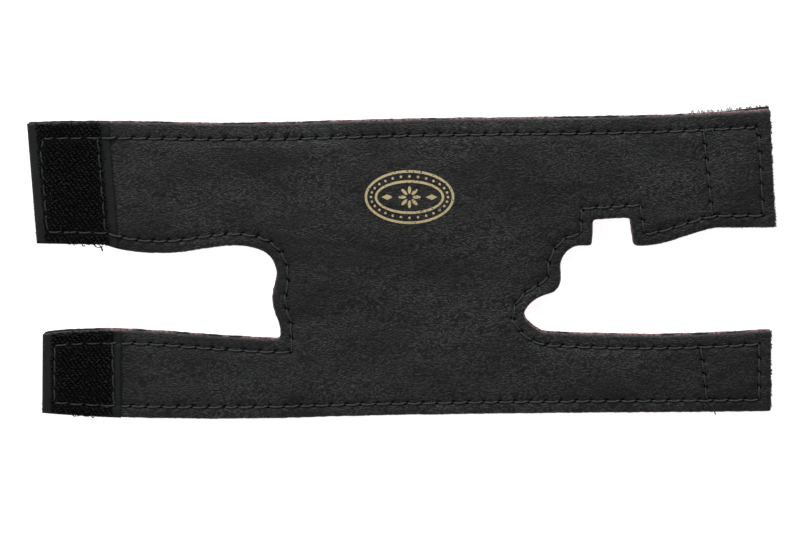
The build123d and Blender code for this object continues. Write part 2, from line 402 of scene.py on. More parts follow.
def thinned(groups):
    # later points give way to the ones already there
    cells, kept = {}, []
    for points, gap in groups:
        for p in points:
            i, j = int(p[0] // 0.6), int(p[1] // 0.6)
            near = (q for a in (i - 1, i, i + 1) for b in (j - 1, j, j + 1) for q in cells.get((a, b), ()))
            if gap and any((q[0] - p[0]) ** 2 + (q[1] - p[1]) ** 2 < gap * gap for q in near):
                continue
            cells.setdefault((i, j), []).append((p[0], p[1]))
            kept.append((p[0], p[1]))
    return np.array(kept)


def gridOver(loop, spacing):
    low, high = loop.min(0), loop.max(0)
    points = []
    for k, y in enumerate(np.arange(low[1], high[1], spacing * 0.866)):
        xs = np.arange(low[0] + (k % 2) * spacing / 2, high[0], spacing)
        points.append(np.c_[xs, np.full(len(xs), y)])
    points = np.vstack(points)
    return points[insideRim(points, loop)]


def seamRowPoints():
    rows = []
    for bar in frontBars:
        along = bar["to"] - bar["from"]
        side = np.array([-along[1], along[0]]) / np.linalg.norm(along)
        for offset in grid["seamRows"]:
            for sign in ((1, -1) if offset else (1,)):
                for share in np.linspace(-0.1, 1.1, 9):
                    rows.append(bar["from"] + along * share + side * offset * sign)
    return np.array(rows)


runs = cutRuns()
rows = np.vstack([rim - rimOut * inset for inset in grid["rimRows"]])
rows = rows[insideRim(rows, rim)]
rows = rows[nearest(rimTree, rows) > 0.1]
seamRows = seamRowPoints()
seamRows = seamRows[insideRim(seamRows, rim)]
seamRows = seamRows[nearest(rimTree, seamRows) > 0.7]
around = np.linspace(0, 2 * math.pi, 7)[:-1]
holeRings = np.vstack([slitPoints] + [holePoints + r * np.array([math.cos(a), math.sin(a)])
                                      for r in grid["holeRings"] for a in around])
holeRings = holeRings[insideRim(holeRings, rim)]
openGrid = gridOver(rim, grid["spacing"])
openGrid = openGrid[nearest(rimTree, openGrid) > 0.8]
spots = thinned([(rim, 0), (np.vstack([r[1:-1] for r in runs]), 0), (rows, grid["closest"]),
                 (holeRings, 0.15), (seamRows, grid["closest"]), (openGrid, 0.4)])


def meshed(points, loopCount, edges=()):
    corners = [Vector(p) for p in points]
    result = geometry.delaunay_2d_cdt(corners, list(edges), [list(range(loopCount))], 1, 1e-5)
    return np.array([v[:] for v in result[0]]), np.array([f[:3] for f in result[2]])


cutEdges, first = [], len(rim)
for run in runs:
    ends = [int(np.argmin(np.linalg.norm(rim - run[k], axis=1))) for k in (0, -1)]
    chain = [ends[0], *range(first, first + len(run) - 2), ends[1]]
    cutEdges += list(zip(chain, chain[1:]))
    first += len(run) - 2
flat, faces = meshed(spots, len(rim), cutEdges)
faceLength = lengthAt(flat[faces].mean(1))
print("grid", len(flat), "points", len(faces), "faces")

# how the whole sheet lies, and what the sewing does to it

lie = {
    "waveHeight": 0.66, "waveSize": 34.0,        # mm, long soft waves
    "foldHeight": 0.46, "foldSize": 13.0,        # shorter ones
    "groove": 0.1, "grooveWidth": 0.34,          # pulled in under the thread
    "dip": 0.2, "dipWidth": 1.6,                 # the softer hollow beside it
    "dimple": 0.6, "dimpleWidth": 0.34,          # at each needle hole
    "hollow": 0.12, "hollowWidth": 1.2,          # the leather sinking towards it
    "darkWidth": 0.46,                           # how far its shade reaches
    "pillow": 0.3, "pillowReach": 5.0,           # fullness inside the seam
    "roll": 0.42, "rollReach": 3.6,              # edge strip turned down
    "arris": 0.5, "arrisDepth": 0.9,             # rounding of the cut edge
    "crease": 0.05, "creaseSize": 1.5, "creaseReach": 2.6,    # puckers along the seam
}


def smooth(value, low, high):
    t = np.clip((value - low) / (high - low), 0, 1)
    return t * t * (3 - 2 * t)


def bell(far, width):
    return np.exp(-(far / width) ** 2)


loopEdge = max(boxMm("loop_tape_upper_left")[1][0], boxMm("loop_tape_lower_left")[1][0])
hookEdge = min(boxMm("hook_tape_upper_right")[0][0], boxMm("hook_tape_lower_right")[0][0])


def lieOf(points):
    # the tapes keep the strap ends flat
    calm = smooth(points[:, 0], loopEdge, loopEdge + 14)
    calm = calm * (1 - 0.8 * smooth(points[:, 0], hookEdge - 14, hookEdge))
    wave = lie["waveHeight"] * ripple(points, lie["waveSize"], 3.1)
    slanted = points @ np.array([[0.8, 0.6], [-0.6, 0.8]]) * np.array([0.55, 1.25])
    wave += lie["foldHeight"] * ripple(slanted, lie["foldSize"], 8.7)
    return wave * calm


def fullness(points, edge, seam):
    # the broad shape of the leather's face over its flat level
    full = lie["pillow"] * (1 - np.exp(-seam / lie["pillowReach"])) * smooth(edge, 2.5, 5.5)
    full -= lie["roll"] * np.clip(1 - edge / lie["rollReach"], 0, 1) ** 1.5
    full -= lie["dip"] * bell(seam, lie["dipWidth"])
    return full * smooth(points[:, 0], loopEdge - 0.5, loopEdge + 5)


def faceShape(points):
    edge, seam, hole = nearest(rimTree, points), nearest(seamTree, points), nearest(slitTree, points)
    freeOfTape = smooth(points[:, 0], loopEdge - 0.5, loopEdge + 1.5)
    z = fullness(points, edge, seam)
    z -= freeOfTape * lie["groove"] * bell(seam, lie["grooveWidth"])
    z -= freeOfTape * lie["dimple"] * bell(hole, lie["dimpleWidth"])
    z -= freeOfTape * lie["hollow"] * bell(hole, lie["hollowWidth"])
    z += freeOfTape * lie["crease"] * ripple(points, lie["creaseSize"], 1.7) * bell(seam, lie["creaseReach"])
    r = lie["arris"]
    z -= lie["arrisDepth"] * (r - np.sqrt(np.maximum(r * r - np.clip(r - edge, 0, r) ** 2, 0)))
    return z


sheetLie = lieOf(flat)
edgeFar, seamFar = nearest(rimTree, flat), nearest(seamTree, flat)
rimSpots = treeOf(rim)
toRim = np.array([found[1] if found[2] < 0.004 else -1 for found in (rimSpots.find((*p, 0.0)) for p in flat)])
pushed = np.zeros((len(flat), 2))
pushed[toRim >= 0] = rimOut[toRim[toRim >= 0]]

cut = {
    "leatherRough": (0.1, 0.8), "leatherWander": (0.07, 3.0),    # how far, and how long a wave, mm
    "feltRough": (0.12, 1.1), "feltWander": (0.14, 6.5),
    "feltProudAbove": 0.42, "feltShortBelow": 0.12,              # the lining past the leather's edge
    "squeeze": 0.35,                                             # share of the edge roll taken by the leather's back
    "feltWave": (0.05, 2.2), "threadPocket": (0.3, 0.5), "threadHollow": (0.12, 1.8), "feltRound": (0.25, 0.7),
}


def rippled(name, seed):
    return cut[name][0] * ripple(flat, cut[name][1], seed)


roughCut = rippled("leatherRough", 5.5) + rippled("leatherWander", 2.2)
leatherXy = flat + pushed * roughCut[:, None]
leatherTop = np.c_[leatherXy, topLevel + sheetLie + faceShape(flat)]
squeezed = cut["squeeze"] * lie["roll"] * np.clip(1 - edgeFar / lie["rollReach"], 0, 1) ** 1.5
leatherLow = np.c_[leatherXy, midLevel + sheetLie - squeezed]

feltOut = cut["feltProudAbove"] * np.clip(pushed[:, 1], 0, 1)
feltOut = feltOut - cut["feltShortBelow"] * np.clip(-pushed[:, 1], 0, 1)
feltOut = (feltOut + rippled("feltRough", 7.7) + rippled("feltWander", 9.3)) * (toRim >= 0)
feltXy = flat + pushed * feltOut[:, None]
feltTop = np.c_[feltXy, midLevel - 0.02 + sheetLie - squeezed]
(pocket, pocketWidth), (hollow, hollowWidth), (rounded, roundedReach) = (
    cut[name] for name in ("threadPocket", "threadHollow", "feltRound"))
feltFace = feltLevel + sheetLie + rippled("feltWave", 6.1) + pocket * bell(seamFar, pocketWidth)
feltFace += hollow * bell(seamFar, hollowWidth) + rounded * np.clip(1 - edgeFar / roundedReach, 0, 1) ** 2
feltLow = np.c_[feltXy, np.maximum(feltFace, 0.05)]


def storeOn(mesh, name, kind, values):
    # hangs values on the mesh's points
    store = mesh.attributes.new(name, kind, "POINT")
    store.data.foreach_set("vector" if kind == "FLOAT_VECTOR" else "value", np.array(values, np.float32).ravel())


def setPoints(mesh, points):
    mesh.vertices.foreach_set("co", (points * mm).astype(np.float32).ravel())
    mesh.update()


def newPiece(name, mesh, material):
    piece = bpy.data.objects.new(name, mesh)
    bpy.context.scene.collection.objects.link(piece)
    if material and not mesh.materials:
        mesh.materials.append(material)
    if "rest" not in mesh.attributes:
        # where each point is before anything bends, in mm, for the patterns
        co = np.zeros(len(mesh.vertices) * 3, np.float32)
        mesh.vertices.foreach_get("co", co)
        storeOn(mesh, "rest", "FLOAT_VECTOR", co / mm)
    return piece


def shellOf(name, tris, top, low, rings, pushedOut, material, isRim, wall=None):
    # a closed sheet: its face, its back and the wall round it, which bulges by rings of share and reach
    used, local = np.unique(tris, return_inverse=True)
    tris = local.reshape(-1, 3)
    count = len(used)
    directed = {(a, b) for t in tris for a, b in ((t[0], t[1]), (t[1], t[2]), (t[2], t[0]))}
    border = [(a, b) for a, b in directed if (b, a) not in directed]
    onBorder = sorted({k for e in border for k in e})
    place = {k: n for n, k in enumerate(onBorder)}
    ids = used[onBorder]
    layers = [top[used], low[used]]
    for share, bulge in rings:
        layers.append(top[ids] * (1 - share) + low[ids] * share + np.c_[pushedOut[ids] * bulge, np.zeros(len(ids))])
    verts = np.vstack(layers) * mm
    polys = [tuple(t) for t in tris] + [tuple(t[::-1] + count) for t in tris]
    kinds = [0] * (2 * len(tris))
    for a, b in border:
        down = [(a, b)]
        for r in range(len(rings)):
            base = 2 * count + r * len(onBorder)
            down.append((base + place[a], base + place[b]))
        down.append((a + count, b + count))
        edgeKind = 1 if isRim[used[a]] and isRim[used[b]] else 2
        for (a0, b0), (a1, b1) in zip(down, down[1:]):
            polys.append((a0, a1, b1, b0))
            kinds.append(edgeKind)
    mesh = bpy.data.meshes.new(name)
    mesh.from_pydata(verts.tolist(), [], polys)
    mesh.polygons.foreach_set("use_smooth", np.ones(len(polys), bool))
    bm = bmesh.new()
    bm.from_mesh(mesh)
    bm.faces.ensure_lookup_table()
    for e in bm.edges:
        around = {kinds[f.index] for f in e.link_faces}
        if 2 in around and len(around) > 1:
            e.smooth = False
    bm.to_mesh(mesh)
    bm.free()
    mesh.materials.append(material)
    if wall:
        mesh.materials.append(wall)
        ledge = [n < len(tris) and any(isRim[used[v]] for v in tris[n]) for n in range(len(polys))]
        which = [int(kind == 1 or onLedge) for kind, onLedge in zip(kinds, ledge)]
        mesh.polygons.foreach_set("material_index", which)
    return newPiece(name, mesh, material)


def markHoleShade(mesh):
    # how near each point of the face is to a needle hole, for the painted shade in and round it
    points = pointsOf(mesh)
    onFace = points[:, 2] > midLevel + 0.3 + lieOf(points[:, :2])
    dark = bell(nearest(slitTree, points), lie["darkWidth"]) * onFace
    storeOn(mesh, "needle", "FLOAT", dark)


def feed(tree, inputs, feeds):
    # each input is linked or given its value
    for key, value in feeds.items():
        if isinstance(value, bpy.types.NodeSocket):
            tree.links.new(value, inputs[key])
        else:
            inputs[key].default_value = value


def put(tree, kind, feeds=None, **settings):
    node = tree.nodes.new(kind)
    for key, value in settings.items():
        setattr(node, key, value)
    feed(tree, node.inputs, feeds or {})
    return node


def sums(tree, operation, *values):
    return put(tree, "ShaderNodeMath", dict(enumerate(values)), operation=operation).outputs[0]


def mixed(tree, share, a, b):
    return put(tree, "ShaderNodeMix", {0: share, 6: a, 7: b}, data_type="RGBA").outputs[2]


def ranged(tree, value, low, high, toLow=0.0, toHigh=1.0):
    return put(tree, "ShaderNodeMapRange", {"Value": value, "From Min": low, "From Max": high,
                                            "To Min": toLow, "To Max": toHigh}).outputs[0]


def stretched(tree, vector, scale, turn=0.0):
    return put(tree, "ShaderNodeMapping", {"Vector": vector, "Rotation": (0, 0, turn), "Scale": scale}).outputs[0]


def groupWith(name, inputs, outputs):
    group = bpy.data.node_groups.new(name, "ShaderNodeTree")
    for label, kind, value in inputs:
        socket = group.interface.new_socket(label, in_out="INPUT", socket_type=kind)
        if value is not None:
            socket.default_value = value
    for label in outputs:
        group.interface.new_socket(label, in_out="OUTPUT", socket_type="NodeSocketFloat")
    return group, group.nodes.new("NodeGroupInput").outputs, group.nodes.new("NodeGroupOutput").inputs


def grainGroup():
    # pebbles of leather: small cells drawn out along lines that wander
    group, given, out = groupWith("pebbleGrain", [
        ("Spot", "NodeSocketVector", None), ("Cell", "NodeSocketFloat", 0.7), ("Wander", "NodeSocketFloat", 0.5),
    ], ["Height", "Valley"])
    warp = put(group, "ShaderNodeTexNoise", {"Vector": given["Spot"], "Scale": 0.16, "Detail": 2.0})
    lean = put(group, "ShaderNodeVectorMath", {0: warp.outputs["Color"], 1: (0.5, 0.5, 0.5)}, operation="SUBTRACT")
    push = put(group, "ShaderNodeVectorMath", {0: lean.outputs[0]}, operation="SCALE")
    group.links.new(sums(group, "MULTIPLY", given["Wander"], 9.0), push.inputs["Scale"])
    spot = put(group, "ShaderNodeVectorMath", {0: given["Spot"], 1: push.outputs[0]}, operation="ADD").outputs[0]
    drawn = stretched(group, spot, (0.45, 1.05, 1.0), 0.3)
    size = sums(group, "DIVIDE", 1.0, given["Cell"])
    cells = put(group, "ShaderNodeTexVoronoi", {"Vector": drawn, "Scale": size, "Smoothness": 0.6, "Randomness": 1.0},
                feature="SMOOTH_F1")
    ground = put(group, "ShaderNodeTexNoise", {"Vector": drawn, "Scale": size, "Detail": 3.0, "Roughness": 0.55,
                                              "Distortion": 0.5})
    pebble = ranged(group, cells.outputs["Distance"], 0.75, 0.1)
    height = sums(group, "ADD", sums(group, "MULTIPLY", pebble, 0.45), ground.outputs[0])
    feed(group, out, {"Height": height, "Valley": ranged(group, height, 0.94, 0.62)})
    return group


def cloudGroup():
    # slow patches, for wear, uneven dye and painted sheen
    group, given, out = groupWith("softPatches", [
        ("Spot", "NodeSocketVector", None), ("Size", "NodeSocketFloat", 20.0), ("Low", "NodeSocketFloat", 0.35),
        ("High", "NodeSocketFloat", 0.65)], ["Mask"])
    cloud = put(group, "ShaderNodeTexNoise", {"Vector": given["Spot"], "Detail": 4.0, "Roughness": 0.55,
                                             "Scale": sums(group, "DIVIDE", 1.0, given["Size"])})
    feed(group, out, {"Mask": ranged(group, cloud.outputs[0], given["Low"], given["High"])})
    return group


def fibreGroup():
    # fine hairs lying mostly one way
    group, given, out = groupWith("fineFibres", [
        ("Spot", "NodeSocketVector", None), ("Size", "NodeSocketFloat", 0.3), ("Draw", "NodeSocketFloat", 4.0)],
        ["Height", "Speck"])
    scale = put(group, "ShaderNodeCombineXYZ", {"Y": 1.0, "Z": 1.0})
    group.links.new(sums(group, "DIVIDE", 1.0, given["Draw"]), scale.inputs["X"])
    drawn = put(group, "ShaderNodeVectorMath", {0: given["Spot"], 1: scale.outputs[0]}, operation="MULTIPLY")
    hairs = put(group, "ShaderNodeTexNoise", {
        "Vector": drawn.outputs[0], "Scale": sums(group, "DIVIDE", 1.0, given["Size"]),
        "Detail": 4.0, "Roughness": 0.7, "Distortion": 0.8})
    specks = put(group, "ShaderNodeTexNoise", {"Vector": given["Spot"], "Scale": 1.3, "Detail": 3.0})
    feed(group, out, {"Height": hairs.outputs[0], "Speck": ranged(group, specks.outputs[0], 0.46, 0.6)})
    return group


pebbleGrain, softPatches, fineFibres = grainGroup(), cloudGroup(), fibreGroup()


def readFrom(tree, name, kind="Fac"):
    # an attribute stored on the mesh
    return put(tree, "ShaderNodeAttribute", attribute_name=name, attribute_type="GEOMETRY").outputs[kind]


def startMaterial(name):
    material = bpy.data.materials.new(name)
    material.use_nodes = True
    tree = material.node_tree
    return material, tree, tree.nodes["Principled BSDF"].inputs, readFrom(tree, "rest", "Vector")


def placeGroup(tree, group, feeds):
    return put(tree, "ShaderNodeGroup", feeds, node_tree=group).outputs


def rgb(r, g, b):
    return (r, g, b, 1.0)


def bumped(tree, surface, height, depth, under=None):
    feeds = {"Height": height, "Distance": depth * mm, "Strength": 1.0}
    if under is not None:
        feeds["Normal"] = under
    feed(tree, surface, {"Normal": put(tree, "ShaderNodeBump", feeds).outputs[0]})


leatherLook = {
    "dye": rgb(0.0145, 0.0154, 0.0152), "worn": rgb(0.063, 0.0655, 0.0645), "valley": rgb(0.002, 0.0022, 0.0022),
    "cell": 0.43, "grainDepth": 0.27, "creaseDepth": 0.26, "shineLow": 0.4, "shineHigh": 0.5, "specular": 0.5,
}


def leatherMaterial():
    material, tree, surface, spot = startMaterial("pebbledLeather")
    grain = placeGroup(tree, pebbleGrain, {"Spot": spot, "Cell": leatherLook["cell"], "Wander": 0.6})
    # lighter, smoother patches: partly real wear, partly painted sheen
    drawn = stretched(tree, spot, (0.6, 1.2, 1.0), 0.6)
    wearAndSheen = placeGroup(tree, softPatches, {"Spot": drawn, "Size": 15.0, "Low": 0.38, "High": 0.64})
    colour = mixed(tree, wearAndSheen["Mask"], leatherLook["dye"], leatherLook["worn"])
    # painted shade: the grain's valleys darkened towards near-black
    colour = mixed(tree, sums(tree, "MULTIPLY", grain["Valley"], 0.95), colour, leatherLook["valley"])
    # painted shade: near-black in and round each needle hole
    hole = ranged(tree, readFrom(tree, "needle"), 0.25, 0.65)
    colour = mixed(tree, hole, colour, rgb(0.0006, 0.0006, 0.0006))
    rough = sums(tree, "ADD", ranged(tree, wearAndSheen["Mask"], 0, 1, leatherLook["shineHigh"], leatherLook["shineLow"]),
                 sums(tree, "ADD", sums(tree, "MULTIPLY", grain["Valley"], 0.15), sums(tree, "MULTIPLY", hole, 0.5)))
    feed(tree, surface, {"Base Color": colour, "Roughness": rough, "Specular IOR Level": leatherLook["specular"]})
    folds = put(tree, "ShaderNodeTexNoise", {"Vector": stretched(tree, spot, (0.16, 0.3, 0.3), 0.5), "Scale": 1.0,
                                            "Detail": 3.0, "Distortion": 0.6})
    folded = put(tree, "ShaderNodeBump", {"Height": folds.outputs[0], "Distance": leatherLook["creaseDepth"] * mm})
    bumped(tree, surface, grain["Height"], leatherLook["grainDepth"], folded.outputs[0])
    return material


def feltMaterial():
    material, tree, surface, spot = startMaterial("brushedFelt")
    nap = placeGroup(tree, fineFibres, {"Spot": spot, "Size": 0.35, "Draw": 3.0})
    patches = placeGroup(tree, softPatches, {"Spot": spot, "Size": 9.0})
    colour = mixed(tree, patches["Mask"], rgb(0.12, 0.018, 0.032), rgb(0.19, 0.035, 0.055))
    colour = mixed(tree, ranged(tree, nap["Height"], 0.5, 0.75), colour, rgb(0.33, 0.12, 0.14))
    feed(tree, surface, {"Base Color": colour, "Roughness": 0.95, "Specular IOR Level": 0.15,
                         "Sheen Weight": 0.35, "Sheen Roughness": 0.5, "Sheen Tint": rgb(0.9, 0.6, 0.62)})
    bumped(tree, surface, nap["Height"], 0.22)
    return material


def fringeMaterial():
    # the brushed ends of the lining's fibres, pale where the light comes through
    material, tree, surface, spot = startMaterial("feltFringe")
    nap = placeGroup(tree, fineFibres, {"Spot": spot, "Size": 0.4, "Draw": 1.0})
    colour = mixed(tree, nap["Speck"], rgb(0.33, 0.25, 0.25), rgb(0.17, 0.05, 0.062))
    # rubbed with black dye here and there, and all along the loop tape
    patches = placeGroup(tree, softPatches, {"Spot": spot, "Size": 7.0, "Low": 0.42, "High": 0.5})
    clear = ranged(tree, put(tree, "ShaderNodeSeparateXYZ", {"Vector": spot}).outputs["X"], -86.0, -82.0)
    colour = mixed(tree, sums(tree, "MULTIPLY", clear, patches["Mask"]), rgb(0.035, 0.034, 0.034), colour)
    feed(tree, surface, {"Base Color": colour, "Roughness": 0.9, "Specular IOR Level": 0.2})
    bumped(tree, surface, nap["Height"], 0.05)
    return material


def threadMaterial(name="bondedThread", base=rgb(0.01, 0.0115, 0.0115), paintedHighlight=rgb(0.1, 0.106, 0.106)):
    material, tree, surface, spot = startMaterial(name)
    along, around = readFrom(tree, "along"), readFrom(tree, "around")
    turns = sums(tree, "ADD", sums(tree, "MULTIPLY", along, 55.0), sums(tree, "MULTIPLY", around, 6.2832))
    twist = sums(tree, "SINE", turns)
    # painted highlight: the crest of each ply turns lighter
    ply = ranged(tree, twist, -1.0, 0.4)
    hairs = placeGroup(tree, fineFibres, {"Spot": spot, "Size": 0.12, "Draw": 2.0})
    # painted shade: each thread turns near-black towards both ends, where a stitch sinks into its holes
    endShade = ranged(tree, sums(tree, "ABSOLUTE", sums(tree, "SUBTRACT", along, 0.5)), 0.33, 0.45)
    colour = mixed(tree, endShade, mixed(tree, ply, base, paintedHighlight), rgb(0.001, 0.001, 0.001))
    feed(tree, surface, {"Base Color": colour, "Roughness": 0.5, "Specular IOR Level": 0.5})
    height = sums(tree, "ADD", ply, sums(tree, "MULTIPLY", hairs["Height"], 0.4))
    bumped(tree, surface, height, 0.06)
    return material


def pileMaterial():
    material, tree, surface, spot = startMaterial("loopPile")
    nap = placeGroup(tree, fineFibres, {"Spot": spot, "Size": 0.2, "Draw": 1.0})
    patches = placeGroup(tree, softPatches, {"Spot": spot, "Size": 5.0})
    fromTop = sums(tree, "ABSOLUTE", sums(tree, "SUBTRACT", readFrom(tree, "along"), 0.5))
    crownOutOfShade = ranged(tree, fromTop, 0.26, 0.08)
    colour = mixed(tree, patches["Mask"], rgb(0.0085, 0.0095, 0.0095), rgb(0.028, 0.0305, 0.03))
    # painted shade: each loop turns near-black down its legs, towards the ground
    colour = mixed(tree, crownOutOfShade, rgb(0.0004, 0.0005, 0.0005), colour)
    feed(tree, surface, {"Base Color": colour, "Roughness": 0.6, "Specular IOR Level": 0.16})
    bumped(tree, surface, nap["Height"], 0.03)
    return material


def tapeMaterial(name, base, paintedHighlight, rough):
    # woven ground and selvages: fine ribs one way, picks the other
    material, tree, surface, spot = startMaterial(name)
    ribs, picks = (put(tree, "ShaderNodeTexWave", {
        "Vector": spot, "Scale": scale, "Distortion": stray, "Detail": 1.0}, bands_direction=way).outputs["Fac"]
        for way, scale, stray in (("X", 1.05, 0.6), ("Y", 0.75, 0.4)))
    weave = sums(tree, "MULTIPLY", ribs, picks)
    patches = placeGroup(tree, softPatches, {"Spot": spot, "Size": 4.0})
    # painted highlight: where ribs and picks cross, the ground turns lighter
    colour = mixed(tree, sums(tree, "MULTIPLY", weave, sums(tree, "ADD", patches["Mask"], 0.3)), base, paintedHighlight)
    # painted shade: the ground under the pile turns near-black
    under = readFrom(tree, "underPile")
    colour = mixed(tree, under, colour, rgb(0.0006, 0.0007, 0.0007))
    feed(tree, surface, {"Base Color": colour, "Roughness": ranged(tree, under, 0, 1, rough, 1.0),
                         "Specular IOR Level": 0.35})
    bumped(tree, surface, weave, 0.05)
    return material


def foilMaterial():
    # stamped foil: follows the grain, thin where it has rubbed off the high spots
    material, tree, surface, spot = startMaterial("stampedFoil")
    grain = placeGroup(tree, pebbleGrain, {"Spot": spot, "Cell": 0.5, "Wander": 0.6})
    rub = placeGroup(tree, softPatches, {"Spot": spot, "Size": 0.55, "Low": 0.34, "High": 0.42})
    # painted shade: darker gold in the grain's valleys
    colour = mixed(tree, sums(tree, "MULTIPLY", grain["Valley"], 0.4), rgb(1.0, 0.84, 0.5), rgb(0.66, 0.48, 0.22))
    colour = mixed(tree, rub["Mask"], rgb(0.06, 0.048, 0.03), colour)
    feed(tree, surface, {"Base Color": colour, "Metallic": ranged(tree, rub["Mask"], 0, 1, 0.0, 0.22),
                         "Roughness": ranged(tree, rub["Mask"], 0, 1, 0.6, 0.42)})
    bumped(tree, surface, grain["Height"], 0.05)
    return material


leather, felt, fringe = leatherMaterial(), feltMaterial(), fringeMaterial()
thread = threadMaterial()
pile = pileMaterial()
loopGround = tapeMaterial("loopTapeGround", rgb(0.0105, 0.0114, 0.0116), rgb(0.027, 0.029, 0.0292), 0.5)
hookGround = tapeMaterial("hookTapeGround", rgb(0.004, 0.0045, 0.0045), rgb(0.012, 0.013, 0.013), 0.5)
hookNylon = threadMaterial("hookNylon", rgb(0.006, 0.0065, 0.0065), rgb(0.012, 0.013, 0.013))
foil = foilMaterial()
print("materials", len(bpy.data.materials))

# bent threads on points: stitches, loops, hooks and loose fibres


def bentThreadTree():
    tree = bpy.data.node_groups.new("bentThreadOnPoints", "GeometryNodeTree")
    face = tree.interface
    face.new_socket("Geometry", in_out="INPUT", socket_type="NodeSocketGeometry")
    for label in ("Start", "Start Handle", "End Handle", "End"):
        face.new_socket(label, in_out="INPUT", socket_type="NodeSocketVector")
    for label in ("Thickness", "Taper", "Swing", "Uneven"):
        face.new_socket(label, in_out="INPUT", socket_type="NodeSocketFloat")
    for label in ("Steps", "Sides", "Seed"):
        face.new_socket(label, in_out="INPUT", socket_type="NodeSocketInt")
    face.new_socket("Finish", in_out="INPUT", socket_type="NodeSocketMaterial")
    face.new_socket("Geometry", in_out="OUTPUT", socket_type="NodeSocketGeometry")
    given = tree.nodes.new("NodeGroupInput").outputs
    out = tree.nodes.new("NodeGroupOutput").inputs
    bow = put(tree, "GeometryNodeCurvePrimitiveBezierSegment", {
        "Start": given["Start"], "Start Handle": given["Start Handle"], "End Handle": given["End Handle"],
        "End": given["End"], "Resolution": given["Steps"]}, mode="POSITION")
    along = put(tree, "GeometryNodeSplineParameter").outputs["Factor"]
    girth = sums(tree, "SUBTRACT", 1.0, sums(tree, "MULTIPLY", along, given["Taper"]))
    bow = put(tree, "GeometryNodeSetCurveRadius", {"Curve": bow.outputs[0], "Radius": girth})
    bow = put(tree, "GeometryNodeStoreNamedAttribute", {"Geometry": bow.outputs[0], "Name": "along", "Value": along},
              data_type="FLOAT", domain="POINT")
    ring = put(tree, "GeometryNodeCurvePrimitiveCircle", {
        "Resolution": given["Sides"], "Radius": sums(tree, "MULTIPLY", given["Thickness"], 0.5)})
    turn = put(tree, "GeometryNodeSplineParameter").outputs["Factor"]
    ring = put(tree, "GeometryNodeStoreNamedAttribute", {
        "Geometry": ring.outputs[0], "Name": "around", "Value": turn}, data_type="FLOAT", domain="POINT")
    tube = put(tree, "GeometryNodeCurveToMesh", {
        "Curve": bow.outputs[0], "Profile Curve": ring.outputs[0], "Fill Caps": True})
    if "Scale" in tube.inputs:
        feed(tree, tube.inputs, {"Scale": put(tree, "GeometryNodeInputRadius").outputs[0]})
    facing = put(tree, "GeometryNodeInputNamedAttribute", {"Name": "facing"}, data_type="QUATERNION").outputs[0]
    size = put(tree, "GeometryNodeInputNamedAttribute", {"Name": "size"}, data_type="FLOAT_VECTOR").outputs[0]
    swingLow, swingHigh = (put(tree, "ShaderNodeVectorMath", {
        0: limit, "Scale": given["Swing"]}, operation="SCALE").outputs[0]
        for limit in ((-0.35, -0.35, -1.0), (0.35, 0.35, 1.0)))
    swing = put(tree, "FunctionNodeRandomValue", {
        "Min": swingLow, "Max": swingHigh, "Seed": given["Seed"]}, data_type="FLOAT_VECTOR")
    rolled = put(tree, "FunctionNodeEulerToRotation", {0: swing.outputs[0]}).outputs[0]
    turned = put(tree, "FunctionNodeRotateRotation", {
        "Rotation": facing, "Rotate By": rolled}, rotation_space="LOCAL").outputs[0]
    uneven = put(tree, "FunctionNodeRandomValue", {
        2: sums(tree, "SUBTRACT", 1.0, given["Uneven"]), 3: sums(tree, "ADD", 1.0, given["Uneven"]),
        "Seed": sums(tree, "ADD", given["Seed"], 7.0)}, data_type="FLOAT").outputs[1]
    sized = put(tree, "ShaderNodeVectorMath", {0: size, "Scale": uneven}, operation="SCALE")
    dots = put(tree, "GeometryNodeInstanceOnPoints", {
        "Points": given["Geometry"], "Instance": tube.outputs[0], "Rotation": turned, "Scale": sized.outputs[0]})
    solid = put(tree, "GeometryNodeRealizeInstances", {"Geometry": dots.outputs[0]})
    shaded = put(tree, "GeometryNodeSetShadeSmooth", {"Geometry": solid.outputs[0]})
    done = put(tree, "GeometryNodeSetMaterial", {"Geometry": shaded.outputs[0], "Material": given["Finish"]})
    feed(tree, out, {"Geometry": done.outputs[0]})
    return tree


bentThread = bentThreadTree()
socketOf = {item.name: item.identifier for item in bentThread.interface.items_tree if item.in_out == "INPUT"}


def facingOf(along, up):
    # a turn that lays x along a line with z near up
    x = Vector(along).normalized()
    z = (Vector(up) - x * x.dot(Vector(up))).normalized()
    y = z.cross(x)
    return Matrix([[x[k], y[k], z[k]] for k in range(3)]).to_quaternion()


def grownOn(name, spots, facings, sizes, shape, material):
    # puts one bent thread on every spot and returns them as one plain mesh
    mesh = bpy.data.meshes.new(name + "Spots")
    mesh.from_pydata((np.array(spots) * mm).tolist(), [], [])
    storeOn(mesh, "facing", "QUATERNION", [list(turn) for turn in facings])
    storeOn(mesh, "size", "FLOAT_VECTOR", sizes)
    seedling = bpy.data.objects.new(name + "Spots", mesh)
    bpy.context.scene.collection.objects.link(seedling)
    grow = seedling.modifiers.new("bentThread", "NODES")
    grow.node_group = bentThread
    for label, value in shape.items():
        if isinstance(value, tuple):
            value = tuple(v * mm for v in value)
        grow[socketOf[label]] = value * mm if label == "Thickness" else value
    grow[socketOf["Finish"]] = material
    bpy.context.view_layer.update()
    ready = seedling.evaluated_get(bpy.context.evaluated_depsgraph_get())
    done = bpy.data.meshes.new_from_object(ready)
    seedling.modifiers.clear()
    bpy.data.objects.remove(seedling)
    done.name = name
    for extra in ("facing", "size"):
        if extra in done.attributes:
            done.attributes.remove(done.attributes[extra])
    return newPiece(name, done, material)


def draped(piece, lift):
    # lays a piece made on the level over the sheet, and keeps its patterns where they are
    points = pointsOf(piece.data)
    points[:, 2] += lift(points[:, :2])
    setPoints(piece.data, points)
    return piece


def seamLift(points):
    return lieOf(points) + fullness(points, nearest(rimTree, points), np.zeros(len(points)))


# leather and lining, one piece for each length

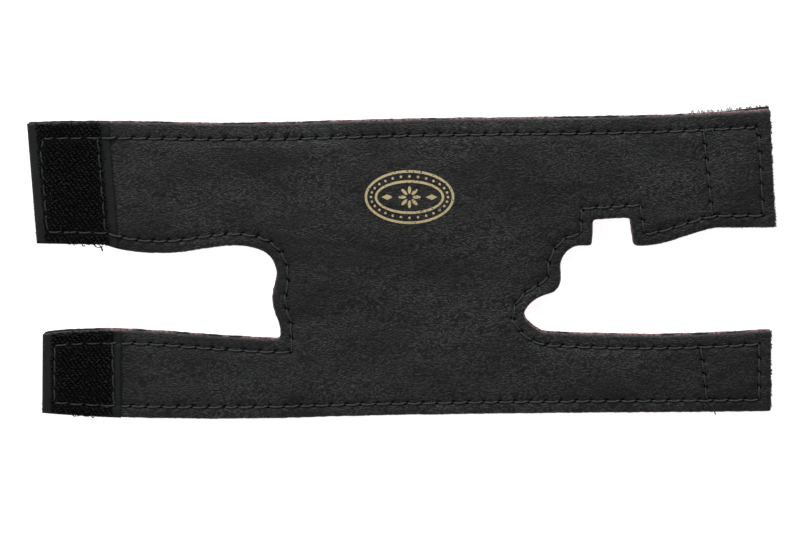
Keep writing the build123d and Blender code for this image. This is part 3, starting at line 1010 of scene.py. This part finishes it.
leatherRings = ((0.2, 0.03), (0.55, 0.05), (0.86, 0.0))
feltRings = ((0.3, 0.1), (0.7, 0.14))


def standsFor(layer, one):
    bodies = [one["b"]] + (["panel"] if one["name"] == "left_wing" else [])
    nodes = [f"{layer}_{body}" for body in bodies if f"{layer}_{body}" in frame["nodes"]]
    if nodes:
        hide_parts(*nodes)


isRim = toRim >= 0
for k, one in enumerate(lengths):
    tris = faces[faceLength == k]
    under = shellOf("lining_piece_" + one["name"], tris, feltTop, feltLow, feltRings, pushed,
                    felt, isRim, fringe)
    over = shellOf("leather_piece_" + one["name"], tris, leatherTop, leatherLow, leatherRings, pushed,
                   leather, isRim)
    markHoleShade(over.data)
    for piece, layer in ((under, "lining"), (over, "leather")):
        follow(piece)
        standsFor(layer, one)
print("leather and lining", len(lengths), "lengths each")

# the lockstitch, front and back

stitchShape = {
    "Start": (-0.5, 0.02, -0.5), "Start Handle": (-0.46, -0.2, 0.34), "End Handle": (0.36, -0.34, 0.34),
    "End": (0.5, 0.26, -0.5), "Thickness": 0.4, "Taper": 0.0, "Swing": 0.05, "Uneven": 0.03,
    "Steps": 9, "Sides": 6, "Seed": 3,
}


def stitchesOn(name, bars, level, lift):
    spots, facings, sizes = [], [], []
    for bar in bars:
        a, b = bar["from"], bar["to"]
        if a[0] > b[0] - 1e-3 * abs(b[1] - a[1]):
            a, b = b, a
        spots.append([*((a + b) / 2), level(bar)])
        facings.append(facingOf((*(b - a), 0), (0, 0, 1 if bar["z"] > midLevel else -1)))
        sizes.append((spanOf(bar) - 0.05, 1.0, 1.0))
    return draped(grownOn(name, spots, facings, sizes, stitchShape, thread), lift)


stitchRise = {"back": 0.12, "leather": 0.02, "tape": 0.18}    # mm over the bottom of the thread's channel


def stitchLevel(bar):
    if bar["z"] < midLevel:
        return bar["z"] + stitchRise["back"]
    return bar["z"] + stitchRise["leather" if bar["z"] < topLevel + 0.2 else "tape"]


barMiddles = np.array([(b["from"] + b["to"]) / 2 for b in edgeBars])
barLength = lengthAt(barMiddles)
for k, one in enumerate(lengths):
    mine = [edgeBars[n] for n in np.flatnonzero(barLength == k)]
    if not mine:
        continue
    sewn = stitchesOn("seam_" + one["name"], mine, stitchLevel, seamLift)
    follow(sewn)
    standsFor("seam_thread", one)
for strap in straps:
    node = f"cross_seam_{strap}"
    mine = [b for b in crossBars if b["node"] == node]
    sewn = stitchesOn("cross_stitches_" + strap, mine, stitchLevel, seamLift)
    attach(sewn, strap + "_end")
    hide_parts(node)
print("seams sewn")

# loop tape on the left straps

loopTape = {
    "grid": 0.5, "thick": 0.4, "underPileRise": 0.3,                # mm
    "edgeLine": 0.09, "edgeLineIn": 0.35, "edgeLineWidth": 0.2,     # the selvage's woven line
    "threadPocket": 0.3, "pocketWidth": 0.5, "edgeDrop": 0.12, "edgeDropWidth": 0.15,
    "spacingX": 1.35, "spacingY": 0.72, "scatter": 0.22, "seamGap": 0.3,
    "crushed": 0.4, "crushReach": 1.1,                              # loops flattened beside the thread
    "shape": {"Start": (-0.45, -0.15, -0.1), "Start Handle": (-0.75, 0.5, 0.95), "End Handle": (0.75, -0.5, 1.0),
              "End": (0.5, 0.15, -0.1), "Thickness": 0.27, "Taper": 0.0, "Swing": 0.8, "Uneven": 0.25,
              "Steps": 7, "Sides": 5, "Seed": 11},
}


def slabOf(name, loop, spacing, top, low, material, rings=((0.35, 0.03), (0.7, 0.03))):
    edge = respaced(loop, spacing, 20)
    inner = gridOver(edge, spacing)
    tree = treeOf(respaced(loop, 0.15, 20))
    inner = inner[nearest(tree, inner) > spacing * 0.7]
    points, tris = meshed(thinned([(edge, 0), (inner, spacing * 0.6)]), len(edge))
    far = nearest(tree, points)
    index = {tuple(np.round(p, 4)): n for n, p in enumerate(edge)}
    onRim = np.array([index.get(tuple(np.round(p, 4)), -1) for p in points])
    out = np.zeros((len(points), 2))
    out[onRim >= 0] = outward(edge)[onRim[onRim >= 0]]
    upper = np.c_[points, top(points, far)]
    lower = np.c_[points, low(points, far)]
    return shellOf(name, tris, upper, lower, rings, out, material, onRim >= 0)


for strap in ("upper_left", "lower_left"):
    node = f"loop_tape_{strap}"
    low, high = boxMm(node)
    ground = rimOf([node], low[2])
    woolly = rimOf([node], high[2])
    groundLevel = low[2] + loopTape["thick"]

    def tapeTop(points, far):
        rise = smooth(nearest(treeOf(respaced(woolly, 0.3)), points), 0.0, 0.8)
        z = groundLevel + loopTape["underPileRise"] * rise * insideRim(points, woolly)
        z += loopTape["edgeLine"] * bell(far - loopTape["edgeLineIn"], loopTape["edgeLineWidth"])
        z -= loopTape["threadPocket"] * bell(nearest(seamTree, points), loopTape["pocketWidth"])
        return z - loopTape["edgeDrop"] * bell(far, loopTape["edgeDropWidth"]) + lieOf(points)

    base = slabOf("loop_tape_ground_" + strap, ground, loopTape["grid"], tapeTop,
                  lambda points, far: low[2] - 0.25 + lieOf(points), loopGround)
    # marks the ground under the pile for its painted shade
    storeOn(base.data, "underPile", "FLOAT", insideRim(pointsOf(base.data)[:, :2], woolly))
    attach(base, strap + "_end")
    xs = np.arange(low[0], high[0], loopTape["spacingX"])
    spots = np.vstack([np.c_[xs + loopTape["spacingX"] * (row * 0.618 % 1), np.full(len(xs), y)]
                       for row, y in enumerate(np.arange(low[1], high[1], loopTape["spacingY"]))])
    spots += loopTape["scatter"] * np.c_[ripple(spots, 1.3, 3.3), ripple(spots, 1.3, 6.6)]
    spots = spots[insideRim(spots, woolly)]
    spots = spots[nearest(seamTree, spots) > loopTape["seamGap"]]
    full = smooth(nearest(seamTree, spots), loopTape["seamGap"], loopTape["crushReach"])
    crush = loopTape["crushed"] + (1 - loopTape["crushed"]) * full
    # the loops lean to and fro in bands that wander
    facings = []
    for x, y in spots:
        lean = 0.6 * math.sin(x * 2.4 + 1.5 * noise.noise((x * 0.3, y * 0.3, 4.0)))
        lean += 1.1 * noise.noise((x * 0.6, y * 0.6, 2.0))
        facings.append(facingOf((math.cos(lean), math.sin(lean), 0), (0, 0, 1)))
    sizes = np.c_[np.ones(len(spots)), np.ones(len(spots)), crush]
    loops = grownOn("loop_pile_" + strap, np.c_[spots, np.full(len(spots), groundLevel + 0.15)], facings, sizes,
                    loopTape["shape"], pile)
    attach(loops, strap + "_end")
    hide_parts(node)
    print("loop pile", strap, len(spots), "loops")

# hook tape under the right straps

topEdge = rim[(rimOut[:, 1] > 0.8) & (rim[:, 1] > 25)]
topEdge = topEdge[np.argsort(topEdge[:, 0])]

hookTape = {
    "grid": 0.6, "thick": 0.4, "spacingX": 1.4, "spacingY": 0.95, "seamGap": 0.6, "edgeRow": 1.35,
    "flapRise": (-0.3, 0.6, 1.45),      # mm past the upper edge, from its inner end to its free end
    "shape": {"Start": (0.0, 0.0, -0.05), "Start Handle": (0.0, 0.0, 1.25), "End Handle": (0.72, 0.0, 1.45),
              "End": (0.5, 0.0, 0.42), "Thickness": 0.26, "Taper": 0.1, "Swing": 0.25, "Uneven": 0.06,
              "Steps": 8, "Sides": 4, "Seed": 5},
}
for strap in ("upper_right", "lower_right"):
    node = f"hook_tape_{strap}"
    low, high = boxMm(node)
    ground = rimOf([node], high[2])
    toothed = rimOf([node], low[2])
    groundLevel = high[2] - hookTape["thick"]
    if strap == "upper_right":
        # it creeps out from under the edge towards its free end
        ground = respaced(ground, 0.8)
        rimY = np.interp(ground[:, 0], topEdge[:, 0], topEdge[:, 1])
        rise = np.interp(ground[:, 0], (low[0] + 3.0, low[0] + 8.0, high[0]), hookTape["flapRise"])
        proud = ground[:, 1] > rimY + 0.05
        ground[proud, 1] = rimY[proud] + rise[proud]
    base = slabOf("hook_tape_ground_" + strap, ground, hookTape["grid"],
                  lambda points, far: high[2] + lieOf(points) + 0.2 * smooth(far, 1.0, 2.5),
                  lambda points, far: groundLevel + lieOf(points) - 0.06 * bell(far - 0.4, 0.25)
                  + 0.15 * bell(nearest(seamTree, points), 0.5), hookGround)
    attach(base, strap + "_end")
    xs = np.arange(low[0] + 0.7, high[0] - 0.3, hookTape["spacingX"])
    columns = []
    for column, x in enumerate(xs):
        ys = np.arange(low[1] + 0.5 + (column % 2) * 0.4, high[1] - 0.2, hookTape["spacingY"])
        columns.append(np.c_[np.full(len(ys), x), ys])
    spots = np.vstack(columns)
    spots = spots[insideRim(spots, toothed)]
    spots = spots[nearest(seamTree, spots) > hookTape["seamGap"]]
    # the hooks of each column face the other way from the next
    facings = [facingOf((0.2, 1.0 if int(x / hookTape["spacingX"]) % 2 else -1.0, 0), (0, 0, -1)) for x, y in spots]
    if strap == "upper_right":
        # the outermost row leans out from under the edge
        xs = np.arange(low[0] + 0.4, high[0] - 2.0, hookTape["edgeRow"])
        ys = np.interp(xs, topEdge[:, 0], topEdge[:, 1]) + 0.1 + 0.5 * smooth(xs, low[0] + 4, high[0])
        spots = np.vstack([spots, np.c_[xs, ys]])
        facings += [facingOf((1.0 if n % 2 else -1.0, 0.15, -0.1), (0.1, 1.0, -0.25)) for n in range(len(xs))]
    hooks = grownOn("hooks_" + strap, np.c_[spots, groundLevel + lieOf(spots)], facings, np.ones((len(spots), 3)),
                    hookTape["shape"], hookNylon)
    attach(hooks, strap + "_end")
    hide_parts(node)
    print("hooks", strap, len(spots))

# the stamped ornament, laid on the leather

points, tris = nodePoints("foil_ornament")
mesh = bpy.data.meshes.new("stamped_ornament")
mesh.from_pydata((points * mm).tolist(), [], [tuple(int(v) for v in t) for t in tris])
bm = bmesh.new()
bm.from_mesh(mesh)
bmesh.ops.remove_doubles(bm, verts=bm.verts, dist=0.002 * mm)
bmesh.ops.recalc_face_normals(bm, faces=bm.faces)
bm.to_mesh(mesh)
bm.free()
points = pointsOf(mesh)
edge, seam = nearest(rimTree, points), nearest(seamTree, points)
points[:, 2] = topLevel + (points[:, 2] - topLevel) * 0.5 + lieOf(points[:, :2]) + fullness(points[:, :2], edge, seam)
setPoints(mesh, points)
ornament = newPiece("stamped_ornament", mesh, foil)
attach(ornament, "panel")
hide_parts("foil_ornament")
print("ornament laid")

# loose fibres round the cut edges

fibreShape = {
    "Start": (0.0, 0.0, 0.0), "Start Handle": (0.4, 0.05, 0.1), "End Handle": (0.7, 0.25, 0.25),
    "End": (1.0, 0.2, 0.1), "Thickness": 0.05, "Taper": 0.7, "Swing": 0.9, "Uneven": 0.45,
    "Steps": 4, "Sides": 3, "Seed": 21,
}
fringeGrowth = {
    "step": 0.13, "leastShare": 0.12, "root": 0.25, "rootSpread": 0.6, "out": 0.34, "inset": 0.05,
    "reach": 0.2, "longer": 0.26,
}
steady = np.random.default_rng(7)
fringeRim = respaced(outline, fringeGrowth["step"], keepX=cutLines)
fringeOut = outward(fringeRim)
fringeLength = lengthAt(fringeRim - fringeOut * 0.05)
for k, one in enumerate(lengths):
    pick = np.flatnonzero(fringeLength == k)
    up = np.clip(fringeOut[pick, 1], 0, 1)
    least = fringeGrowth["leastShare"]
    pick = pick[steady.random(len(pick)) < least + (1 - least) * up ** 2]
    if len(pick) < 4:
        continue
    spots, out = fringeRim[pick], fringeOut[pick]
    level = midLevel - fringeGrowth["root"] - fringeGrowth["rootSpread"] * steady.random(len(pick)) + lieOf(spots)
    spots = np.c_[spots + out * (fringeGrowth["out"] * np.clip(out[:, 1:2], 0, 1) - fringeGrowth["inset"]), level]
    facings = [facingOf((o[0], o[1], 0.1), (0, 0, 1)) for o in out]
    longer = np.clip(out[:, 1], 0, 1) * steady.random(len(pick)) ** 1.5
    reach = fringeGrowth["reach"] + fringeGrowth["longer"] * longer
    hairs = grownOn("lining_fringe_" + one["name"], spots, facings, np.c_[reach, reach, reach],
                    fibreShape, fringe)
    follow(hairs)
print("fringe")

# dark fuzz on the rough cut ends, and loose ends of thread

endFuzz = {
    "from": 92.0, "deep": 1.1, "tuft": 1.6, "thin": 0.25, "thick": 0.6, "reach": 0.22, "longer": 0.26,
    # the stretch of each strap's end that is rough, mm up the guard
    "rough": {"upper_right": (-20.0, 60.0), "lower_right": (-60.0, 60.0), "upper_left": (-60.0, 19.0),
              "lower_left": (-60.0, -38.0)},
}
for strap, (lowY, highY) in endFuzz["rough"].items():
    sideX = 1.0 if "right" in strap else -1.0
    y = fringeRim[:, 1]
    atEnd = (fringeOut[:, 0] * sideX > 0.75) & (np.abs(fringeRim[:, 0]) > endFuzz["from"])
    ends = np.flatnonzero(atEnd & (y > lowY) & (y < highY) & ((y > partY) == strap.startswith("upper")))
    ends = np.repeat(ends, 3)
    tufted = ripple(fringeRim[ends], endFuzz["tuft"], 4.4) > 0
    ends = ends[steady.random(len(ends)) < endFuzz["thin"] + endFuzz["thick"] * tufted]
    spots, out = fringeRim[ends], fringeOut[ends]
    level = topLevel - 0.3 - endFuzz["deep"] * steady.random(len(ends)) + lieOf(spots)
    facings = [facingOf((o[0], o[1] - 0.25, 0.1), (0, 0, 1)) for o in out]
    reach = endFuzz["reach"] + endFuzz["longer"] * steady.random(len(ends)) ** 2
    fuzz = grownOn("end_fuzz_" + strap, np.c_[spots - out * 0.05, level], facings, np.c_[reach, reach, reach],
                   {**fibreShape, "Thickness": 0.5, "Swing": 1.2}, leather)
    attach(fuzz, strap + "_end")

# where each tail starts, the way it runs, its length and how far it bows, in mm
tails = {
    "upper_left": (((-86.8, 5.7), (0.85, -0.6), 3.7, 0.6), ((-86.4, 5.6), (0.95, -0.3), 2.4, -0.4)),
    "lower_right": (((85.9, -39.2), (0.56, -0.83), 4.5, 0.35), ((84.6, -39.3), (0.2, -1.0), 1.6, 0.4)),
    "upper_right": (((84.6, 38.0), (0.35, -1.0), 1.9, -0.5), ((84.9, 37.6), (0.75, -0.8), 2.4, 0.5),
                    ((84.2, 37.8), (-0.2, -1.0), 1.3, 0.4)),
    "lower_left": (((-90.4, -39.9), (0.8, -0.6), 2.0, 0.7), ((-88.9, -40.2), (-0.7, -0.7), 1.7, -0.6)),
}
tailShape = {
    "Start": (0, 0, -0.1), "Start Handle": (0.35, 1.0, 0.3), "End Handle": (0.7, 1.0, 0.25),
    "End": (1.0, -0.1, 0.0), "Thickness": 0.26, "Taper": 0.3, "Swing": 0.1, "Uneven": 0.1,
    "Steps": 9, "Sides": 6, "Seed": 8,
}
for strap, ends in tails.items():
    spots = [(*start, topLevel + 0.12) for start, way, length, bow in ends]
    facings = [facingOf((*way, 0), (0, 0, 1)) for start, way, length, bow in ends]
    sizes = [(length, bow * 2, 1.0) for start, way, length, bow in ends]
    tail = grownOn("thread_tails_" + strap, spots, facings, sizes, tailShape, thread)
    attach(draped(tail, seamLift), strap + "_end")
print("loose ends")

# floor, light and camera

floorMesh = bpy.data.meshes.new("floor")
floorMesh.from_pydata([(-3, -3, -0.0001), (3, -3, -0.0001), (3, 3, -0.0001), (-3, 3, -0.0001)], [], [(0, 1, 2, 3)])
floor = bpy.data.objects.new("floor", floorMesh)
bpy.context.scene.collection.objects.link(floor)
paper = bpy.data.materials.new("whitePaper")
paper.use_nodes = True
feed(paper.node_tree, paper.node_tree.nodes["Principled BSDF"].inputs, {
    "Base Color": rgb(0.93, 0.93, 0.93), "Roughness": 0.9, "Specular IOR Level": 0.0,
    "Emission Color": rgb(1, 1, 1), "Emission Strength": 0.85})
floorMesh.materials.append(paper)

studio = {"key": 11.5, "fill": 1.2, "side": 2.6, "sky": 0.12, "lens": 85.0, "away": 0.529, "tilt": 5.0,
          "centre": (-0.74, -0.72, 3.8)}


def lamp(name, power, size, place, aim=(0, 0, 0)):
    light = bpy.data.lights.new(name, "AREA")
    light.shape = "RECTANGLE"
    light.size, light.size_y = size
    light.energy = power
    thing = bpy.data.objects.new(name, light)
    thing.location = place
    thing.rotation_euler = (Vector(aim) - Vector(place)).to_track_quat("-Z", "Y").to_euler()
    bpy.context.scene.collection.objects.link(thing)


lamp("keyLight", studio["key"], (1.6, 0.45), (0.0, 1.0, 0.55))
lamp("fillLight", studio["fill"], (1.2, 0.6), (0.0, -1.0, 0.5))
lamp("sideLight", studio["side"], (0.5, 0.9), (-1.0, 0.1, 0.5))
world = bpy.data.worlds.new("studio")
world.use_nodes = True
feed(world.node_tree, world.node_tree.nodes["Background"].inputs, {"Color": rgb(1, 1, 1), "Strength": studio["sky"]})
bpy.context.scene.world = world
bpy.context.scene.view_settings.view_transform = "Standard"

tilt = math.radians(studio["tilt"])
eye = bpy.data.cameras.new("camera")
eye.lens = studio["lens"]
eye.clip_start = 0.01
cameraThing = bpy.data.objects.new("camera", eye)
cameraThing.rotation_euler = (-tilt, 0, 0)
cameraThing.location = Vector(studio["centre"]) * mm + Vector((0, math.sin(tilt), math.cos(tilt))) * studio["away"]
bpy.context.scene.collection.objects.link(cameraThing)
bpy.context.scene.camera = cameraThing

print("done")
